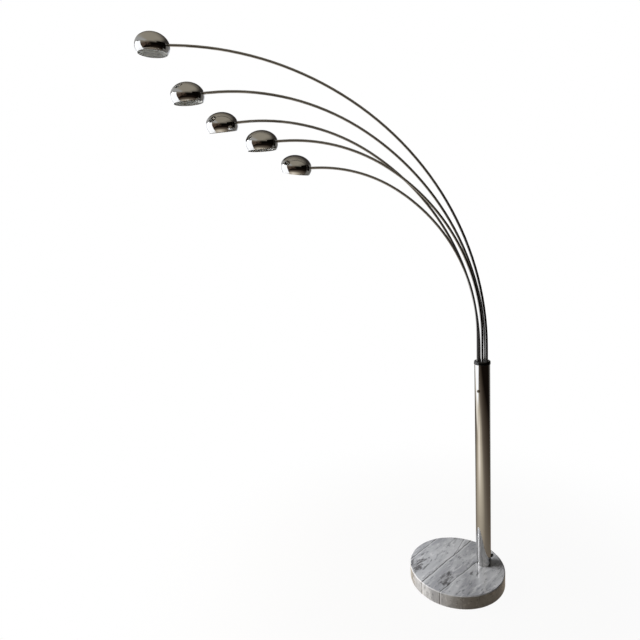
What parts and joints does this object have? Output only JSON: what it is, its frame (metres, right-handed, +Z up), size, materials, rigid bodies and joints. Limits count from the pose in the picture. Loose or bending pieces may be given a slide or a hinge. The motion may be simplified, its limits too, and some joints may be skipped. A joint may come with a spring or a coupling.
{
  "type": "arc floor lamp",
  "caption": "Floor lamp with small chromed dome shades on curved tubes that fan out of one pole over a round marble base.",
  "frame": {"origin": "centre of the base's underside, on the floor", "axes": "+Z up; the pole stands off centre towards +X, the arms reach towards -X, and -Y is the front"},
  "size_m": [1.0849, 0.325, 1.8414],
  "materials": {
    "marble": "polished, pale grey with darker veins",
    "felt": "black felt",
    "zinc_steel": "zinc plated",
    "pole_chrome": "polished chrome plate",
    "black_nylon": "moulded, satin",
    "black_gloss": "glossy moulded black",
    "white_nylon": "moulded, satin",
    "black_screw": "black oxide, glossy",
    "arm_chrome": "polished chrome plate",
    "black_flex": "round sheathed flex",
    "brass": "plain brass",
    "porcelain": "unglazed steatite",
    "bulb_glass": "clear capsule",
    "shade_1": "polished chrome plate outside, matte inside",
    "shade_2": "polished chrome plate outside, matte inside",
    "shade_3": "polished chrome plate outside, matte inside",
    "shade_4": "polished chrome plate outside, matte inside",
    "shade_5": "polished chrome plate outside, matte inside"
  },
  "bodies": {
    "stand": {"marble_base": "marble", "felt_pad": "felt", "base_washer": "zinc_steel", "base_bolt": "zinc_steel", "pole_plug": "zinc_steel", "pole": "pole_chrome", "cord_gland": "black_nylon", "arm_cap": "black_gloss", "stem_block": "white_nylon", "holder_screw": "black_screw", "terminal_block": "white_nylon", "terminal_screw": "zinc_steel"},
    "arm_1_body": {"arm_1": "arm_chrome", "flex_1": "black_flex", "nipple_1": "brass", "shade_washer_1": "zinc_steel", "locknut_1": "brass", "lampholder_1": "porcelain", "bulb_1": "bulb_glass"},
    "shade_1_body": {"shade_1": "shade_1"},
    "arm_2_body": {"arm_2": "arm_chrome", "flex_2": "black_flex", "nipple_2": "brass", "shade_washer_2": "zinc_steel", "locknut_2": "brass", "lampholder_2": "porcelain", "bulb_2": "bulb_glass"},
    "shade_2_body": {"shade_2": "shade_2"},
    "arm_3_body": {"arm_3": "arm_chrome", "flex_3": "black_flex", "nipple_3": "brass", "shade_washer_3": "zinc_steel", "locknut_3": "brass", "lampholder_3": "porcelain", "bulb_3": "bulb_glass"},
    "shade_3_body": {"shade_3": "shade_3"},
    "arm_4_body": {"arm_4": "arm_chrome", "flex_4": "black_flex", "nipple_4": "brass", "shade_washer_4": "zinc_steel", "locknut_4": "brass", "lampholder_4": "porcelain", "bulb_4": "bulb_glass"},
    "shade_4_body": {"shade_4": "shade_4"},
    "arm_5_body": {"arm_5": "arm_chrome", "flex_5": "black_flex", "nipple_5": "brass", "shade_washer_5": "zinc_steel", "locknut_5": "brass", "lampholder_5": "porcelain", "bulb_5": "bulb_glass"},
    "shade_5_body": {"shade_5": "shade_5"}
  },
  "joints": [
    {"name": "arm_1_turn", "type": "hinge", "parent": "stand", "child": "arm_1_body", "pos_m": [0.10814, -0.00882, 0.779], "axis": [0, 0, 1], "range_deg": [-6, 45]},
    {"name": "arm_2_turn", "type": "hinge", "parent": "stand", "child": "arm_2_body", "pos_m": [0.10814, 0.00882, 0.779], "axis": [0, 0, 1], "range_deg": [-45, 4]},
    {"name": "arm_3_turn", "type": "hinge", "parent": "stand", "child": "arm_3_body", "pos_m": [0.09136, 0.01427, 0.779], "axis": [0, 0, 1], "range_deg": [-45, 1]},
    {"name": "arm_4_turn", "type": "hinge", "parent": "stand", "child": "arm_4_body", "pos_m": [0.09136, -0.01427, 0.779], "axis": [0, 0, 1], "range_deg": [-4, 45]},
    {"name": "arm_5_turn", "type": "hinge", "parent": "stand", "child": "arm_5_body", "pos_m": [0.081, 0, 0.779], "axis": [0, 0, 1], "range_deg": [-1, 12]},
    {"name": "shade_1_turn", "type": "hinge", "parent": "arm_1_body", "child": "shade_1_body", "pos_m": [-0.82356, -0.03159, 1.80325], "axis": [-0.9977, -0.0244, 0.0628], "range_deg": [-60, 60]},
    {"name": "shade_2_turn", "type": "hinge", "parent": "arm_2_body", "child": "shade_2_body", "pos_m": [-0.73557, -0.03097, 1.66659], "axis": [-0.9976, -0.047, -0.0506], "range_deg": [-60, 60]},
    {"name": "shade_3_turn", "type": "hinge", "parent": "arm_3_body", "child": "shade_3_body", "pos_m": [-0.64942, 0.01556, 1.58883], "axis": [-0.999, 0.0017, -0.0454], "range_deg": [-60, 60]},
    {"name": "shade_4_turn", "type": "hinge", "parent": "arm_4_body", "child": "shade_4_body", "pos_m": [-0.52685, -0.03477, 1.51713], "axis": [-0.9993, -0.0332, -0.0157], "range_deg": [-60, 60]},
    {"name": "shade_5_turn", "type": "hinge", "parent": "arm_5_body", "child": "shade_5_body", "pos_m": [-0.43049, 0.02233, 1.44136], "axis": [-0.9986, 0.0436, 0.0297], "range_deg": [-60, 60]}
  ]
}
